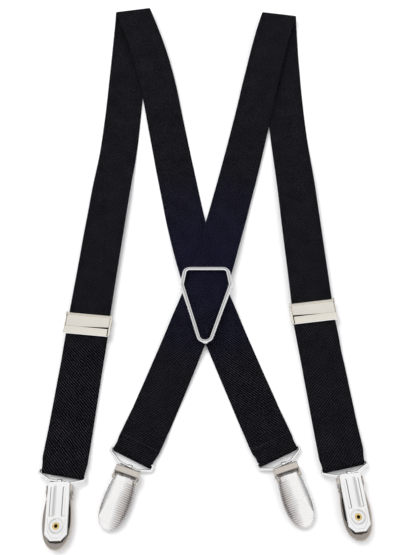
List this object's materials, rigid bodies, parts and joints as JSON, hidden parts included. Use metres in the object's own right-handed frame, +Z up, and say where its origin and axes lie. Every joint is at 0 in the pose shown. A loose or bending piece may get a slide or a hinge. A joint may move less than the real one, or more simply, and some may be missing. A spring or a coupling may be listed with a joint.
{
  "type": "clip-on braces",
  "caption": "Clip-on elastic braces with an X back, laid flat with both shoulder folds at the top, wire crosspiece, sliding adjusters and swinging waistband clips that open.",
  "frame": {"origin": "centre of the footprint, on the surface the braces lie on", "axes": "+X to the right, +Y towards the shoulder folds, +Z up, away from the surface"},
  "size_m": [0.1818, 0.3813, 0.008],
  "materials": {
    "webbing": "black elastic webbing with a fine diagonal weave",
    "thread": "black sewing thread",
    "adjuster_nickel": "warm nickel plate, slightly dull",
    "saddle_nickel": "warm nickel plate, satin",
    "nickel": "bright nickel plate",
    "steel": "plain steel",
    "brass": "bright brass",
    "pad": "black moulded grip"
  },
  "bodies": {
    "straps": {"strap_left": "webbing", "strap_right": "webbing", "left_lower_front": "webbing", "right_lower_front": "webbing", "back_hem_stitches": "thread"},
    "keystone": {"keystone_wire": "nickel", "keystone_back_bar": "nickel"},
    "left_carriage": {"left_lower_end": "webbing", "left_lower_back": "webbing"},
    "left_adjuster": {"left_sewn_end": "webbing", "left_end_stitches": "thread", "left_adjuster_frame": "adjuster_nickel", "left_adjuster_bar": "steel", "left_adjuster_pin": "steel"},
    "left_lever": {"left_adjuster_lever": "adjuster_nickel"},
    "right_carriage": {"right_lower_end": "webbing", "right_lower_back": "webbing"},
    "right_adjuster": {"right_sewn_end": "webbing", "right_end_stitches": "thread", "right_adjuster_frame": "adjuster_nickel", "right_adjuster_bar": "steel", "right_adjuster_pin": "steel"},
    "right_lever": {"right_adjuster_lever": "adjuster_nickel"},
    "front_left_loop": {"front_left_loop": "nickel"},
    "front_left_clip": {"front_left_plate": "nickel", "front_left_saddle": "saddle_nickel", "front_left_jaw_pad": "pad", "front_left_eyelet": "brass", "front_left_hinge_pin": "steel", "front_left_spring": "steel"},
    "front_left_cover": {"front_left_cover": "nickel", "front_left_cover_pad": "pad"},
    "front_right_loop": {"front_right_loop": "nickel"},
    "front_right_clip": {"front_right_plate": "nickel", "front_right_saddle": "saddle_nickel", "front_right_jaw_pad": "pad", "front_right_eyelet": "brass", "front_right_hinge_pin": "steel", "front_right_spring": "steel"},
    "front_right_cover": {"front_right_cover": "nickel", "front_right_cover_pad": "pad"},
    "back_left_loop": {"back_left_loop": "nickel"},
    "back_left_clip": {"back_left_plate": "nickel", "back_left_saddle": "saddle_nickel", "back_left_jaw_pad": "pad", "back_left_eyelet": "brass", "back_left_hinge_pin": "steel", "back_left_spring": "steel"},
    "back_left_cover": {"back_left_cover": "nickel", "back_left_cover_pad": "pad"},
    "back_right_loop": {"back_right_loop": "nickel"},
    "back_right_clip": {"back_right_plate": "nickel", "back_right_saddle": "saddle_nickel", "back_right_jaw_pad": "pad", "back_right_eyelet": "brass", "back_right_hinge_pin": "steel", "back_right_spring": "steel"},
    "back_right_cover": {"back_right_cover": "nickel", "back_right_cover_pad": "pad"}
  },
  "joints": [
    {"name": "keystone_slide", "type": "slide", "parent": "straps", "child": "keystone", "axis": [0, 1, 0], "range_m": [-0.0015, 0.0015]},
    {"name": "left_end_slide", "type": "slide", "parent": "straps", "child": "left_carriage", "axis": [0.0889, 0.996, 0], "range_m": [-0.008, 0.035], "deforming": ["left_lower_front"]},
    {"name": "left_adjuster_slide", "type": "slide", "parent": "left_carriage", "child": "left_adjuster", "axis": [0.0889, 0.996, 0], "range_m": [-0.00801, 0.03501], "deforming": ["left_lower_back"]},
    {"name": "left_lever_hinge", "type": "hinge", "parent": "left_adjuster", "child": "left_lever", "pos_m": [-0.06909, -0.05869, 0.00575], "axis": [-0.9952, 0.0976, 0], "range_deg": [0, 75]},
    {"name": "right_end_slide", "type": "slide", "parent": "straps", "child": "right_carriage", "axis": [-0.1219, 0.9925, 0], "range_m": [-0.008, 0.035], "deforming": ["right_lower_front"]},
    {"name": "right_adjuster_slide", "type": "slide", "parent": "right_carriage", "child": "right_adjuster", "axis": [-0.0037, 1, 0], "range_m": [-0.00804, 0.03513], "deforming": ["right_lower_back"]},
    {"name": "right_lever_hinge", "type": "hinge", "parent": "right_adjuster", "child": "right_lever", "pos_m": [0.06555, -0.05044, 0.00575], "axis": [-0.9921, -0.1253, 0], "range_deg": [0, 75]},
    {"name": "front_left_loop_swing", "type": "hinge", "parent": "left_carriage", "child": "front_left_loop", "pos_m": [-0.07733, -0.15042, 0.00245], "axis": [-0.986, 0.1668, 0], "range_deg": [-105, 50]},
    {"name": "front_left_clip_swing", "type": "hinge", "parent": "front_left_loop", "child": "front_left_clip", "pos_m": [-0.07811, -0.15564, 0.0053], "axis": [0.986, -0.1668, 0], "range_deg": [-36.4, 31.6]},
    {"name": "front_left_cover_hinge", "type": "hinge", "parent": "front_left_clip", "child": "front_left_cover", "pos_m": [-0.07798, -0.16304, 0.0025], "axis": [0.9998, 0.0175, 0], "range_deg": [0, 78]},
    {"name": "front_right_loop_swing", "type": "hinge", "parent": "right_carriage", "child": "front_right_loop", "pos_m": [0.07734, -0.14632, 0.00245], "axis": [-0.9781, -0.2079, 0], "range_deg": [-105, 50]},
    {"name": "front_right_clip_swing", "type": "hinge", "parent": "front_right_loop", "child": "front_right_clip", "pos_m": [0.07947, -0.15126, 0.0053], "axis": [0.9781, 0.2079, 0], "range_deg": [-36.4, 31.6]},
    {"name": "front_right_cover_hinge", "type": "hinge", "parent": "front_right_clip", "child": "front_right_cover", "pos_m": [0.08035, -0.15861, 0.0025], "axis": [0.993, 0.1184, 0], "range_deg": [0, 78]},
    {"name": "back_left_loop_swing", "type": "hinge", "parent": "straps", "child": "back_left_loop", "pos_m": [-0.03918, -0.14135, 0.00245], "axis": [-0.8988, 0.4384, 0], "range_deg": [-80, 80]},
    {"name": "back_left_clip_swing", "type": "hinge", "parent": "back_left_loop", "child": "back_left_clip", "pos_m": [-0.04055, -0.14735, 0.00245], "axis": [0.8988, -0.4384, 0], "range_deg": [-60, 8]},
    {"name": "back_left_cover_hinge", "type": "hinge", "parent": "back_left_clip", "child": "back_left_cover", "pos_m": [-0.04296, -0.15435, 0.00525], "axis": [-0.9455, 0.3256, 0], "range_deg": [0, 78]},
    {"name": "back_right_loop_swing", "type": "hinge", "parent": "straps", "child": "back_right_loop", "pos_m": [0.04113, -0.14067, 0.00245], "axis": [-0.9063, -0.4226, 0], "range_deg": [-80, 80]},
    {"name": "back_right_clip_swing", "type": "hinge", "parent": "back_right_loop", "child": "back_right_clip", "pos_m": [0.0443, -0.14582, 0.00245], "axis": [0.9063, 0.4226, 0], "range_deg": [-60, 8]},
    {"name": "back_right_cover_hinge", "type": "hinge", "parent": "back_right_clip", "child": "back_right_cover", "pos_m": [0.04659, -0.15285, 0.00525], "axis": [-0.9511, -0.309, 0], "range_deg": [0, 78]}
  ],
  "couplings": [
    {"joint": "left_adjuster_slide", "follows": "left_end_slide", "ratio": 1},
    {"joint": "right_adjuster_slide", "follows": "right_end_slide", "ratio": 1.0035}
  ]
}
